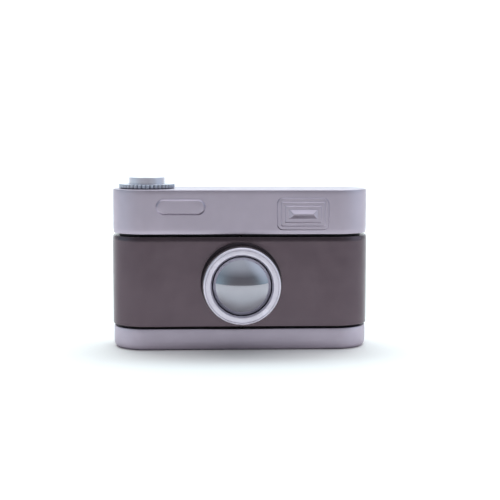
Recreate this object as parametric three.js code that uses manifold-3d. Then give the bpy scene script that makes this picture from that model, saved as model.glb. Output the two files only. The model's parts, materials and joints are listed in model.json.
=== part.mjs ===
// Camera-shaped fidget toy, in millimetres.
// X runs to the right as seen from the front, Y to the back, Z up.
// The origin is the middle of the flat underside.
// Two steel covers joined by two posts carry a dark middle body that slides sideways between them.
// The body holds the lens: a turning bezel and a free steel ball.
// The top cover holds a clicking dial with a push button in it.

import * as THREE from "three";
import { mergeVertices } from "three/addons/utils/BufferGeometryUtils.js";
import ManifoldModule from "manifold-3d";

const wasm = await ManifoldModule();
wasm.setup();

// Covers and slide body
const COVER_WIDTH = 50;
const COVER_DEPTH = 16;
const CORNER_RADIUS = 6.6;
const BASE_HEIGHT = 4.25;
const LOWER_GAP = 0.45;
const BODY_HEIGHT = 17.4;
const UPPER_GAP = 0.5;
const TOP_HEIGHT = 8.55;
const BODY_PROUD = 0.15;
const BASE_FILLET = 1;
const BASE_RIM_ROUND = 0.15;
const BODY_EDGE_ROUND = 0.12;
const TOP_LOWER_ROUND = 0.15;
const TOP_UPPER_ROUND = 0.15;

// Reliefs on the front of the top cover
const RELIEF_ROOT = 0.5;
const PILL_LENGTH = 9.55;
const PILL_HEIGHT = 3.12;
const PILL_RAISE = 0.45;
const PILL_SILL = 0.05;
const PILL_SLOPE = 0.36;
const PILL_X = -11.6;
const PILL_DROP = 3.25;
const FLASH_WIDTH = 10.1;
const FLASH_HEIGHT = 6.3;
const FLASH_CORNER = 1.2;
const FLASH_X = 11.9;
const FLASH_DROP = 4.6;
const FLASH_STEPS = 3;
const FLASH_STEP_RISE = 0.24;
const FLASH_RISER_SLOPE = 0.2;
const FLASH_TREAD = 0.55;
const FLASH_ROOF_RISE = 0.8;
const FLASH_RIDGE = 0.1;
const LEAST_CORNER = 0.12;

// Slide guide
const SLIDE_TRAVEL = 6;
const POST_RADIUS = 2.4;
const POST_X = 10.5;
const POST_CLEARANCE = 0.1;
const SLOT_BACK_WALL = 1.45;
const SPIGOT_RADIUS = 1.45;
const SPIGOT_LENGTH = 3;
const SCREW_RADIUS = 1.25;
const SCREW_DEPTH = 6;
const SCREW_HEAD_RADIUS = 2.35;
const SCREW_HEAD_HEIGHT = 1.4;
const SCREW_SINK = 0.25;
const SOCKET_RADIUS = 0.87;
const SOCKET_DEPTH = 0.9;
const HEX_SIDES = 6;
const GLIDE_INSET = 1.2;
const GLIDE_SPLIT = 0.4;
const GLIDE_PLAY = 0.06;

// Holding magnets
const MAGNET_RADIUS = 2;
const MAGNET_THICKNESS = 0.7;
const MAGNET_Y = -2.6;

// Lens
const LENS_DROP = 0.1;
const LENS_WALL = 1.1;
const BALL_CENTRE_OUT = 0.7;
const BALL_PLAY = 0.25;
const SUPPORT_RADIUS = 1;
const SUPPORT_TOUCH = 0.05;
const SUPPORT_ANGLE = 38;
const SUPPORT_COUNT = 3;
const CUP_RIM_DEPTH = 1.2;
const CUP_WEB = 0.3;
const BALL_MAGNET_RADIUS = 3;
const BALL_MAGNET_THICKNESS = 1.5;
const CUP_WALL_GAP = 0.1;
const BARREL_SHANK_WALL = 0.35;
const BARREL_END_GAP = 0.2;
const BARREL_SHOULDER = 0.05;
const BARREL_FOOT = 0.35;
const BARREL_FOOT_HEIGHT = 0.6;
const BARREL_LENGTH = 4.4;
const BARREL_MOUTH_WALL = 0.55;
const BARREL_MOUTH_DEPTH = 1.9;
const RING_STEP = 0.2;
const RING_THICKNESS = 0.95;
const RING_EDGE = 0.15;
const RING_APERTURE_GAP = 0.13;
const RING_BEVEL_WIDTH = 0.3;
const RING_BEVEL_DEPTH = 0.55;
const RING_LIP = 0.1;
const RING_SPIGOT_LENGTH = 0.9;
const RING_SPIGOT_GAP = 0.13;
const RING_LINE_INSET = 0.32;
const RING_LINE_WIDTH = 0.16;
const RING_LINE_DEPTH = 0.16;
const RING_WASHER_THICKNESS = 0.2;
const RING_WASHER_INSET = 0.1;
const SNAP_WIRE_RADIUS = 0.2;
const SNAP_WIRE_BACK = 0.5;
const SNAP_WIRE_OPENING = 24;
const SET_SCREW_RADIUS = 1;
const SET_SCREW_INTO_BODY = 3.6;
const SET_SCREW_RECESS = 0.15;
const SET_SOCKET_RADIUS = 0.5;
const SET_SOCKET_DEPTH = 0.45;

// Dial and button
const DIAL_RADIUS = 5.5;
const DIAL_END_INSET = 1.1;
const DIAL_POCKET_WALL = 0.9;
const DIAL_LIFT = 0.12;
const DIAL_THICKNESS = 0.75;
const DIAL_TEETH = 40;
const DIAL_TOOTH_DEPTH = 0.35;
const DIAL_STEM_WALL = 0.75;
const DIAL_FLOOR = 0.8;
const DIAL_ROOF = 1.8;
const BUSH_WALL = 0.45;
const BUSH_FLANGE = 0.15;
const BUSH_FLANGE_THICKNESS = 0.3;
const DIAL_WASHER_THICKNESS = 0.25;
const CIRCLIP_THICKNESS = 0.5;
const CIRCLIP_GROOVE = 0.35;
const CIRCLIP_REACH = 0.7;
const CIRCLIP_OPENING = 50;
const POCKET_CLEARANCE = 0.3;
const DETENTS = 16;
const DETENT_SIDE = 0.5;
const DETENT_BALL_RADIUS = 0.6;
const DETENT_INSET = 0.5;
const DETENT_BOSS_WALL = 0.45;
const DETENT_BOSS_GAP = 0.7;
const DETENT_SPRING_TURNS = 2.5;
const DETENT_SPRING_WIRE = 0.1;
const CAP_THICKNESS = 1;
const CAP_INSET = 0.1;
const CAP_FLOOR = 0.25;
const BUTTON_RADIUS = 3.57;
const BUTTON_STAND = 1.35;
const BUTTON_EDGE = 0.2;
const BUTTON_LENGTH = 2.9;
const BUTTON_TRAVEL = 1.2;
const PLUNGER_RADIUS = 0.9;
const PLUNGER_TIP = 0.35;
const PLUNGER_NECK = 0.3;
const PLUNGER_ROOM = 0.25;
const BUTTON_CLIP_THICKNESS = 0.4;
const BUTTON_CLIP_REACH = 0.8;
const BUTTON_CLIP_OPENING = 70;
const BUTTON_SPRING_WIRE = 0.2;
const BUTTON_SPRING_TURNS = 4;

// Clearances that several fits share
const PRESS_GAP = 0.05;
const RUN_GAP = 0.1;
const SEAT_GAP = 0.02;

// Fineness of round shapes
const ROUND = 36;
const SMALL_ROUND = 18;
const CORNER_STEPS = 6;
const EDGE_STEPS = 3;
const COIL_STEPS = 8;
const COIL_SIDES = 5;
const BALL_STEPS = [36, 18];
const SMALL_BALL_STEPS = [12, 8];
const WELD = 1e-4;
const BEYOND = 1;

// Levels from the table up
const bodyBottom = BASE_HEIGHT + LOWER_GAP;
const bodyTop = bodyBottom + BODY_HEIGHT;
const coverBottom = bodyTop + UPPER_GAP;
const coverTop = coverBottom + TOP_HEIGHT;

// Plan of the slide guide
const bodyWidth = COVER_WIDTH + 2 * BODY_PROUD;
const bodyDepth = COVER_DEPTH + 2 * BODY_PROUD;
const slotHalfWidth = POST_RADIUS + POST_CLEARANCE;
const postY = bodyDepth / 2 - SLOT_BACK_WALL - slotHalfWidth;
const postPlaces = { left: [-POST_X, postY], right: [POST_X, postY] };
const magnetPocket = MAGNET_RADIUS + PRESS_GAP;
const magnetPocketDepth = SEAT_GAP + MAGNET_THICKNESS + PRESS_GAP;
const magnetPlaces = { left: -SLIDE_TRAVEL, middle: 0, right: SLIDE_TRAVEL };

// Lens stack, counted along the lens axis from the front of the slide body, positive into the body
const lensZ = bodyBottom + BODY_HEIGHT / 2 - LENS_DROP;
const setScrewAt = [0, SET_SCREW_INTO_BODY - bodyDepth / 2];
const lensBore = BODY_HEIGHT / 2 - LENS_DROP - LENS_WALL;
const shankRadius = lensBore - PRESS_GAP;
const barrelBore = shankRadius - BARREL_SHANK_WALL;
const ballRadius = barrelBore - CUP_WALL_GAP;
const seatRadius = ballRadius + BALL_PLAY;
const barrelRadius = shankRadius + BARREL_SHOULDER;
const cupRadius = barrelBore - PRESS_GAP;
const supportReach = ballRadius + SUPPORT_RADIUS + SUPPORT_TOUCH;
const supportLean = THREE.MathUtils.degToRad(SUPPORT_ANGLE);
const supportAt = supportReach * Math.cos(supportLean) - BALL_CENTRE_OUT;
const seatBottom = seatRadius - BALL_CENTRE_OUT;
const ballMagnetFront = Math.max(seatBottom, supportAt + SUPPORT_RADIUS) + CUP_WEB;
const cupBack = ballMagnetFront + BALL_MAGNET_THICKNESS + SEAT_GAP;
const lensBoreDepth = cupBack + SEAT_GAP;
const barrelEnd = lensBoreDepth - BARREL_END_GAP;
const mouthRadius = barrelRadius - BARREL_MOUTH_WALL;
const spigotOuter = mouthRadius - RUN_GAP;
const ringBack = -BARREL_LENGTH - RING_WASHER_THICKNESS - 2 * SEAT_GAP;
const spigotEnd = ringBack + RING_SPIGOT_LENGTH;
const spigotInner = ballRadiusAt(spigotEnd) + RING_SPIGOT_GAP;
const ringFace = ringBack - RING_THICKNESS;
const ringRadius = barrelRadius - RING_STEP;
const lipBack = ringFace + RING_BEVEL_DEPTH + RING_LIP;
const ringAperture = ballRadiusAt(lipBack) + RING_APERTURE_GAP;
const ringFaceInner = ringAperture + RING_BEVEL_WIDTH;
const snapWireAt = ringBack + SNAP_WIRE_BACK;

// Dial stack, counted from the upper face of the top cover
const dialTop = DIAL_LIFT + DIAL_THICKNESS;
const buttonBore = BUTTON_RADIUS + RUN_GAP;
const stemRadius = buttonBore + DIAL_STEM_WALL;
const capBottom = -TOP_HEIGHT + CAP_INSET;
const capTop = capBottom + CAP_THICKNESS;
const plungerEnd = capTop + PLUNGER_ROOM + BUTTON_TRAVEL;
const buttonClipBottom = plungerEnd + PLUNGER_TIP;
const buttonClipTop = buttonClipBottom + BUTTON_CLIP_THICKNESS;
const stemEnd = buttonClipTop + SEAT_GAP;
const stemFloor = stemEnd + DIAL_FLOOR;
const bushInner = stemRadius + RUN_GAP;
const bushOuter = bushInner + BUSH_WALL;
const flangeRadius = bushOuter + BUSH_FLANGE;
const flangeTop = DIAL_LIFT - SEAT_GAP;
const flangeBottom = flangeTop - BUSH_FLANGE_THICKNESS;
const circlipOuter = stemRadius + CIRCLIP_REACH;
const pocketRadius = Math.max(circlipOuter, bushOuter) + POCKET_CLEARANCE;
const dialInset = Math.max(DIAL_RADIUS + DIAL_END_INSET, pocketRadius + DIAL_POCKET_WALL);
const dialX = dialInset - COVER_WIDTH / 2;
const dialWasherTop = -DIAL_ROOF - SEAT_GAP;
const circlipTop = dialWasherTop - DIAL_WASHER_THICKNESS - SEAT_GAP;
const circlipBottom = circlipTop - CIRCLIP_THICKNESS;
const buttonTop = dialTop + BUTTON_STAND;
const pistonBottom = buttonTop - BUTTON_LENGTH;
const detentX = stemRadius - DETENT_INSET;
const detentBallZ = stemEnd - PRESS_GAP - DETENT_BALL_RADIUS;
const detentHole = DETENT_BALL_RADIUS + RUN_GAP;

const steel = new THREE.MeshStandardMaterial({ color: 0xa6a5ad, roughness: 0.42, metalness: 1 });
const brightSteel = new THREE.MeshStandardMaterial({ color: 0xc9c9ce, roughness: 0.3, metalness: 1 });
const mirrorSteel = new THREE.MeshStandardMaterial({ color: 0xd6d8dc, roughness: 0.04, metalness: 1 });
const darkSteel = new THREE.MeshStandardMaterial({ color: 0x57514f, roughness: 0.3, metalness: 1 });
const springSteel = new THREE.MeshStandardMaterial({ color: 0x8d8f94, roughness: 0.35, metalness: 1 });
const nickel = new THREE.MeshStandardMaterial({ color: 0xb9b4a8, roughness: 0.25, metalness: 1 });
const slippery = new THREE.MeshStandardMaterial({ color: 0x26282b, roughness: 0.6, metalness: 0 });

// How wide the ball is at a place along the lens axis
function ballRadiusAt(along) {
  return Math.sqrt(ballRadius ** 2 - (along + BALL_CENTRE_OUT) ** 2);
}

// A closed triangle mesh as a solid that can be joined and cut
function solid(geometry) {
  const bare = geometry.clone();
  bare.deleteAttribute("normal");
  bare.deleteAttribute("uv");
  const welded = mergeVertices(bare, WELD);
  const mesh = new wasm.Mesh({
    numProp: 3,
    vertProperties: welded.attributes.position.array,
    triVerts: new Uint32Array(welded.index.array),
  });
  return new wasm.Manifold(mesh);
}

// A solid as a named mesh inside a group
function piece(group, name, shape, material) {
  const mesh = shape.getMesh();
  const geometry = new THREE.BufferGeometry();
  geometry.setAttribute("position", new THREE.BufferAttribute(mesh.vertProperties, 3));
  geometry.setIndex(new THREE.BufferAttribute(mesh.triVerts, 1));
  geometry.computeVertexNormals();
  const node = new THREE.Mesh(geometry, material);
  node.name = name;
  group.add(node);
}

// An upright cylinder between two levels
function rod(radius, low, high, [x, y] = [0, 0], sides = ROUND) {
  const geometry = new THREE.CylinderGeometry(radius, radius, high - low, sides);
  geometry.rotateX(Math.PI / 2);
  geometry.translate(x, y, (low + high) / 2);
  return solid(geometry);
}

// An upright tube between two levels
function tube(inner, outer, low, high, at = [0, 0], sides = ROUND) {
  const hole = rod(inner, low - WELD, high + WELD, at, sides);
  return rod(outer, low, high, at, sides).subtract(hole);
}

// A shape turned about the Y axis from pairs of radius and place along the axis
function turned(profile, sides = ROUND) {
  const points = profile.map(([radius, along]) => new THREE.Vector2(radius, along));
  return solid(new THREE.LatheGeometry(points, sides));
}

// The same about the Z axis
function turnedUpright(profile, sides = ROUND) {
  const points = profile.map(([radius, height]) => new THREE.Vector2(radius, height));
  return solid(new THREE.LatheGeometry(points, sides).rotateX(Math.PI / 2));
}

// A rectangle with round corners, drawn in from its full size by an inset
function roundedOutline(width, depth, radius, inset) {
  const corner = Math.max(radius - inset, LEAST_CORNER);
  const spanX = Math.max(width / 2 - inset - corner, 0);
  const spanY = Math.max(depth / 2 - inset - corner, 0);
  const points = [];
  for (const [signX, signY, start] of [[1, 1, 0], [-1, 1, 1], [-1, -1, 2], [1, -1, 3]]) {
    for (let step = 0; step <= CORNER_STEPS; step += 1) {
      const angle = (start + step / CORNER_STEPS) * Math.PI / 2;
      points.push([signX * spanX + corner * Math.cos(angle), signY * spanY + corner * Math.sin(angle)]);
    }
  }
  return points;
}

// A rounded block built from levels, each a height and an inset
function slab(width, depth, radius, levels) {
  const rings = levels.map(([height, inset]) => (
    roundedOutline(width, depth, radius, inset).map(([x, y]) => [x, y, height])
  ));
  const count = rings[0].length;
  const faces = [];
  for (let level = 0; level + 1 < rings.length; level += 1) {
    for (let here = 0; here < count; here += 1) {
      const next = (here + 1) % count;
      const a = level * count + here;
      const b = level * count + next;
      faces.push(a, b, b + count, a, b + count, a + count);
    }
  }
  const lid = (rings.length - 1) * count;
  for (let here = 1; here + 1 < count; here += 1) {
    faces.push(0, here + 1, here, lid, lid + here, lid + here + 1);
  }
  const geometry = new THREE.BufferGeometry();
  geometry.setAttribute("position", new THREE.Float32BufferAttribute(rings.flat(2), 3));
  geometry.setIndex(faces);
  return geometry;
}

// Levels of a quarter-round edge at the foot of a block, and the same at its head
function footRound(low, radius) {
  return Array.from({ length: EDGE_STEPS + 1 }, (_, step) => {
    const angle = step / EDGE_STEPS * Math.PI / 2;
    return [low + radius * (1 - Math.cos(angle)), radius * (1 - Math.sin(angle))];
  });
}

function headRound(high, radius) {
  return footRound(0, radius).map(([rise, inset]) => [high - rise, inset]).reverse();
}

// A raised shape on the front of the top cover
function relief(geometry, x, z) {
  geometry.rotateX(Math.PI / 2);
  geometry.translate(x, -COVER_DEPTH / 2, z);
  return solid(geometry);
}

// A flat ring with an opening, lying between two levels
function openRing(inner, outer, low, high, openingDegrees) {
  const half = THREE.MathUtils.degToRad(openingDegrees) / 2;
  const shape = new THREE.Shape();
  shape.absarc(0, 0, outer, half, 2 * Math.PI - half, false);
  shape.absarc(0, 0, inner, 2 * Math.PI - half, half, true);
  shape.closePath();
  const geometry = new THREE.ExtrudeGeometry(shape, {
    depth: high - low,
    bevelEnabled: false,
    curveSegments: SMALL_ROUND,
  });
  geometry.translate(0, 0, low);
  return solid(geometry);
}

// A round wire laid along a circle or a coil about the Z axis
class Winding extends THREE.Curve {
  constructor(radius, low, rise, turns) {
    super();
    Object.assign(this, { radius, low, rise, turns });
  }

  getPoint(share) {
    const angle = share * this.turns * 2 * Math.PI;
    const x = this.radius * Math.cos(angle);
    const y = this.radius * Math.sin(angle);
    return new THREE.Vector3(x, y, this.low + share * this.rise);
  }
}

function wire(path, wireRadius, steps) {
  const section = [];
  for (let side = 0; side < COIL_SIDES; side += 1) {
    const angle = side / COIL_SIDES * 2 * Math.PI;
    section.push(new THREE.Vector2(wireRadius * Math.cos(angle), wireRadius * Math.sin(angle)));
  }
  return new THREE.ExtrudeGeometry(new THREE.Shape(section), {
    steps,
    extrudePath: path,
    bevelEnabled: false,
  });
}

// A coil spring that fills the height between two levels
function coil(radius, wireRadius, low, high, turns) {
  const path = new Winding(radius, low + wireRadius, high - low - 2 * wireRadius, turns);
  return solid(wire(path, wireRadius, turns * COIL_STEPS));
}

// The frame: both covers and what is fixed to them

function topCover() {
  const levels = [...footRound(coverBottom, TOP_LOWER_ROUND), ...headRound(coverTop, TOP_UPPER_ROUND)];
  let shape = solid(slab(COVER_WIDTH, COVER_DEPTH, CORNER_RADIUS, levels));
  const pillLevels = [[-RELIEF_ROOT, 0], [PILL_SILL, 0], [PILL_RAISE, PILL_SLOPE]];
  const pill = slab(PILL_LENGTH, PILL_HEIGHT, PILL_HEIGHT / 2, pillLevels);
  const flash = slab(FLASH_WIDTH, FLASH_HEIGHT, FLASH_CORNER, flashLevels());
  shape = shape.add(relief(pill, PILL_X, coverTop - PILL_DROP));
  shape = shape.add(relief(flash, FLASH_X, coverTop - FLASH_DROP));
  const dialAt = [dialX, 0];
  shape = shape.subtract(rod(pocketRadius, coverBottom - BEYOND, coverTop - DIAL_ROOF, dialAt));
  shape = shape.subtract(rod(bushOuter + PRESS_GAP, coverBottom, coverTop + BEYOND, dialAt));
  const flangeSeat = coverTop + flangeBottom - SEAT_GAP;
  shape = shape.subtract(rod(flangeRadius + PRESS_GAP, flangeSeat, coverTop + BEYOND, dialAt));
  for (const place of Object.values(postPlaces)) {
    const spigotHole = SPIGOT_RADIUS + PRESS_GAP;
    const spigotTop = coverBottom + SPIGOT_LENGTH + PRESS_GAP;
    shape = shape.subtract(rod(spigotHole, coverBottom - BEYOND, spigotTop, place, SMALL_ROUND));
  }
  for (const x of Object.values(magnetPlaces)) {
    const pocketTop = coverBottom + magnetPocketDepth;
    const pocketAt = [x, MAGNET_Y];
    shape = shape.subtract(rod(magnetPocket, coverBottom - BEYOND, pocketTop, pocketAt, SMALL_ROUND));
  }
  return shape;
}

// Steps of the flash window, ending in a hipped roof with a short ridge
function flashLevels() {
  const levels = [[-RELIEF_ROOT, 0]];
  const stepIn = FLASH_RISER_SLOPE + FLASH_TREAD;
  for (let step = 0; step < FLASH_STEPS; step += 1) {
    levels.push([step * FLASH_STEP_RISE, step * stepIn]);
    levels.push([(step + 1) * FLASH_STEP_RISE, step * stepIn + FLASH_RISER_SLOPE]);
  }
  const roofLevel = FLASH_STEPS * FLASH_STEP_RISE;
  levels.push([roofLevel, FLASH_STEPS * stepIn]);
  levels.push([roofLevel + FLASH_ROOF_RISE, FLASH_HEIGHT / 2 - FLASH_RIDGE]);
  return levels;
}

function bottomCover() {
  const levels = [...footRound(0, BASE_FILLET), ...headRound(BASE_HEIGHT, BASE_RIM_ROUND)];
  let shape = solid(slab(COVER_WIDTH, COVER_DEPTH, CORNER_RADIUS, levels));
  for (const place of Object.values(postPlaces)) {
    shape = shape.subtract(screwShape(PRESS_GAP).translate(place[0], place[1], 0));
    shape = shape.subtract(rod(SCREW_HEAD_RADIUS + PRESS_GAP, -BEYOND, SCREW_SINK, place));
  }
  return shape;
}

// Countersunk screw from below, grown by a clearance where it stands for its own hole
function screwShape(grow) {
  const head = SCREW_HEAD_RADIUS + grow;
  const shank = SCREW_RADIUS + grow;
  return turnedUpright([
    [0, SCREW_SINK],
    [head, SCREW_SINK],
    [shank, SCREW_SINK + SCREW_HEAD_HEIGHT],
    [shank, SCREW_SINK + SCREW_DEPTH + grow],
    [0, SCREW_SINK + SCREW_DEPTH + grow],
  ]);
}

function guidePost() {
  const body = rod(POST_RADIUS, BASE_HEIGHT + SEAT_GAP, coverBottom - SEAT_GAP);
  const spigotTop = coverBottom + SPIGOT_LENGTH;
  const spigot = rod(SPIGOT_RADIUS, BASE_HEIGHT + SEAT_GAP, spigotTop, [0, 0], SMALL_ROUND);
  return body.add(spigot).subtract(screwShape(PRESS_GAP));
}

function baseScrew() {
  const socket = rod(SOCKET_RADIUS, SCREW_SINK - BEYOND, SCREW_SINK + SOCKET_DEPTH, [0, 0], HEX_SIDES);
  return screwShape(0).subtract(socket);
}

// A slippery plate in one half of a running gap, with a hole for the post of that half
function glidePlate(low, high, [x, y]) {
  const levels = [[low, GLIDE_INSET], [high, GLIDE_INSET]];
  const whole = solid(slab(COVER_WIDTH, COVER_DEPTH, CORNER_RADIUS, levels));
  const half = new THREE.BoxGeometry(COVER_WIDTH, COVER_DEPTH, high - low + 2 * BEYOND);
  half.translate(Math.sign(x) * (COVER_WIDTH + GLIDE_SPLIT) / 2, 0, (low + high) / 2);
  const hole = rod(POST_RADIUS + PRESS_GAP, low - BEYOND, high + BEYOND, [x, y]);
  return whole.intersect(solid(half)).subtract(hole);
}

function addFrame(group) {
  piece(group, "top_cover", topCover(), steel);
  piece(group, "bottom_cover", bottomCover(), steel);
  for (const [side, [x, y]] of Object.entries(postPlaces)) {
    const lowerGlide = [BASE_HEIGHT + SEAT_GAP, bodyBottom - GLIDE_PLAY];
    const upperGlide = [bodyTop + GLIDE_PLAY, coverBottom - SEAT_GAP];
    piece(group, `guide_post_${side}`, guidePost().translate(x, y, 0), steel);
    piece(group, `base_screw_${side}`, baseScrew().translate(x, y, 0), springSteel);
    piece(group, `lower_glide_${side}`, glidePlate(...lowerGlide, [x, y]), slippery);
    piece(group, `upper_glide_${side}`, glidePlate(...upperGlide, [x, y]), slippery);
  }
  for (const [side, x] of Object.entries(magnetPlaces)) {
    const low = coverBottom + SEAT_GAP;
    const magnet = rod(MAGNET_RADIUS, low, low + MAGNET_THICKNESS, [x, MAGNET_Y], SMALL_ROUND);
    piece(group, `cover_magnet_${side}`, magnet, nickel);
  }
}

// The slider: the dark middle body and what is fixed in it

function slideBody() {
  const levels = [...footRound(bodyBottom, BODY_EDGE_ROUND), ...headRound(bodyTop, BODY_EDGE_ROUND)];
  let shape = solid(slab(bodyWidth, bodyDepth, CORNER_RADIUS + BODY_PROUD, levels));
  for (const [x, y] of Object.values(postPlaces)) {
    const length = 2 * (SLIDE_TRAVEL + slotHalfWidth);
    const slotLevels = [[bodyBottom - BEYOND, 0], [bodyTop + BEYOND, 0]];
    const slot = solid(slab(length, 2 * slotHalfWidth, slotHalfWidth, slotLevels));
    shape = shape.subtract(slot.translate(x, y, 0));
  }
  for (const x of Object.values(magnetPlaces)) {
    const pocketBottom = bodyTop - magnetPocketDepth;
    const pocketAt = [x, MAGNET_Y];
    shape = shape.subtract(rod(magnetPocket, pocketBottom, bodyTop + BEYOND, pocketAt, SMALL_ROUND));
  }
  const bore = turned([[0, -BEYOND], [lensBore, -BEYOND], [lensBore, lensBoreDepth], [0, lensBoreDepth]]);
  shape = shape.subtract(bore.translate(0, -bodyDepth / 2, lensZ));
  const screwHole = SET_SCREW_RADIUS + PRESS_GAP;
  return shape.subtract(rod(screwHole, bodyBottom - BEYOND, lensZ, setScrewAt, SMALL_ROUND));
}

function setScrew() {
  const low = bodyBottom + SET_SCREW_RECESS;
  const high = lensZ - shankRadius - PRESS_GAP;
  const socket = rod(SET_SOCKET_RADIUS, low - BEYOND, low + SET_SOCKET_DEPTH, setScrewAt, HEX_SIDES);
  return rod(SET_SCREW_RADIUS, low, high, setScrewAt, SMALL_ROUND).subtract(socket);
}

function lensBarrel() {
  const mouth = -BARREL_LENGTH + BARREL_MOUTH_DEPTH;
  const shape = turned([
    [barrelBore, barrelEnd],
    [barrelBore, mouth],
    [mouthRadius, mouth],
    [mouthRadius, -BARREL_LENGTH],
    [barrelRadius, -BARREL_LENGTH],
    [barrelRadius, -BARREL_FOOT_HEIGHT],
    [barrelRadius + BARREL_FOOT, -SEAT_GAP],
    [shankRadius, -SEAT_GAP],
    [shankRadius, barrelEnd],
    [barrelBore, barrelEnd],
  ]);
  return shape.subtract(snapGroove(mouthRadius - SNAP_WIRE_RADIUS, mouthRadius + SNAP_WIRE_RADIUS));
}

// Room for the snap wire, cut half from the barrel and half from the bezel
function snapGroove(inner, outer) {
  const half = SNAP_WIRE_RADIUS + RUN_GAP / 2;
  const low = snapWireAt - half;
  const high = snapWireAt + half;
  return turned([[inner, low], [outer, low], [outer, high], [inner, high], [inner, low]]);
}

function ballCup() {
  const profile = [[0, seatBottom]];
  const rimAngle = Math.acos((CUP_RIM_DEPTH + BALL_CENTRE_OUT) / seatRadius);
  for (let step = 1; step <= CORNER_STEPS; step += 1) {
    const angle = step / CORNER_STEPS * rimAngle;
    profile.push([seatRadius * Math.sin(angle), -BALL_CENTRE_OUT + seatRadius * Math.cos(angle)]);
  }
  profile.push([cupRadius, CUP_RIM_DEPTH], [cupRadius, cupBack], [0, cupBack]);
  const recess = BALL_MAGNET_RADIUS + PRESS_GAP;
  const recessFront = ballMagnetFront - SEAT_GAP;
  const recessBack = cupBack + BEYOND;
  let shape = turned(profile);
  shape = shape.subtract(
    turned([[0, recessFront], [recess, recessFront], [recess, recessBack], [0, recessBack]]),
  );
  for (let index = 0; index < SUPPORT_COUNT; index += 1) {
    shape = shape.subtract(supportBall(index, SUPPORT_RADIUS + PRESS_GAP));
  }
  return shape;
}

function supportBall(index, radius) {
  const around = index / SUPPORT_COUNT * 2 * Math.PI + Math.PI / 2;
  const out = supportReach * Math.sin(supportLean);
  const geometry = new THREE.SphereGeometry(radius, ...SMALL_BALL_STEPS);
  geometry.translate(out * Math.cos(around), supportAt, out * Math.sin(around));
  return solid(geometry);
}

function ballMagnet() {
  const back = ballMagnetFront + BALL_MAGNET_THICKNESS;
  const front = ballMagnetFront;
  return turned([[0, front], [BALL_MAGNET_RADIUS, front], [BALL_MAGNET_RADIUS, back], [0, back]]);
}

function ringWasher() {
  const back = -BARREL_LENGTH - SEAT_GAP;
  const front = back - RING_WASHER_THICKNESS;
  const inner = mouthRadius;
  const outer = ringRadius - RING_WASHER_INSET;
  return turned([[inner, front], [outer, front], [outer, back], [inner, back], [inner, front]]);
}

function addSlider(group) {
  piece(group, "slide_body", slideBody(), darkSteel);
  piece(group, "barrel_set_screw", setScrew(), springSteel);
  for (const [side, x] of Object.entries(magnetPlaces)) {
    const high = bodyTop - SEAT_GAP;
    const magnet = rod(MAGNET_RADIUS, high - MAGNET_THICKNESS, high, [x, MAGNET_Y], SMALL_ROUND);
    piece(group, `body_magnet_${side}`, magnet, nickel);
  }
  const lens = new THREE.Group();
  lens.name = "lens";
  lens.position.set(0, -bodyDepth / 2, lensZ);
  group.add(lens);
  piece(lens, "lens_barrel", lensBarrel(), darkSteel);
  piece(lens, "ball_cup", ballCup(), slippery);
  piece(lens, "ball_magnet", ballMagnet(), nickel);
  for (let index = 0; index < SUPPORT_COUNT; index += 1) {
    piece(lens, `support_ball_${index + 1}`, supportBall(index, SUPPORT_RADIUS), brightSteel);
  }
  piece(lens, "ring_washer", ringWasher(), slippery);
  piece(lens, "lens_ring", lensRing(), brightSteel);
  piece(lens, "ring_snap_wire", snapWire(), springSteel);
  const ball = new THREE.SphereGeometry(ballRadius, ...BALL_STEPS).translate(0, -BALL_CENTRE_OUT, 0);
  piece(lens, "lens_ball", solid(ball), mirrorSteel);
}

function lensRing() {
  const lineOuter = ringRadius - RING_LINE_INSET;
  const lineInner = lineOuter - RING_LINE_WIDTH;
  const shape = turned([
    [ringFaceInner, ringFace],
    [lineInner, ringFace],
    [lineInner, ringFace + RING_LINE_DEPTH],
    [lineOuter, ringFace + RING_LINE_DEPTH],
    [lineOuter, ringFace],
    [ringRadius - RING_EDGE, ringFace],
    [ringRadius, ringFace + RING_EDGE],
    [ringRadius, ringBack],
    [spigotOuter, ringBack],
    [spigotOuter, spigotEnd],
    [spigotInner, spigotEnd],
    [spigotInner, ringBack],
    [ringAperture, lipBack],
    [ringAperture, ringFace + RING_BEVEL_DEPTH],
    [ringFaceInner, ringFace],
  ]);
  return shape.subtract(snapGroove(spigotOuter - SNAP_WIRE_RADIUS, mouthRadius + SNAP_WIRE_RADIUS));
}

function snapWire() {
  const radius = (spigotOuter + mouthRadius) / 2;
  const path = new Winding(radius, 0, 0, 1 - SNAP_WIRE_OPENING / 360);
  const geometry = wire(path, SNAP_WIRE_RADIUS - RUN_GAP / 2, ROUND);
  geometry.rotateX(Math.PI / 2);
  geometry.translate(0, snapWireAt, 0);
  return solid(geometry);
}

// The dial with its button, and the bearing parts fixed in the top cover

function knurledDisc() {
  const points = [];
  const parts = [0, 0, 1, 1];
  for (let corner = 0; corner < DIAL_TEETH * parts.length; corner += 1) {
    const radius = DIAL_RADIUS - DIAL_TOOTH_DEPTH * parts[corner % parts.length];
    const angle = corner / (DIAL_TEETH * parts.length) * 2 * Math.PI;
    points.push(new THREE.Vector2(radius * Math.cos(angle), radius * Math.sin(angle)));
  }
  const geometry = new THREE.ExtrudeGeometry(new THREE.Shape(points), {
    depth: DIAL_THICKNESS,
    bevelEnabled: false,
  });
  geometry.translate(0, 0, DIAL_LIFT);
  return solid(geometry);
}

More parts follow.
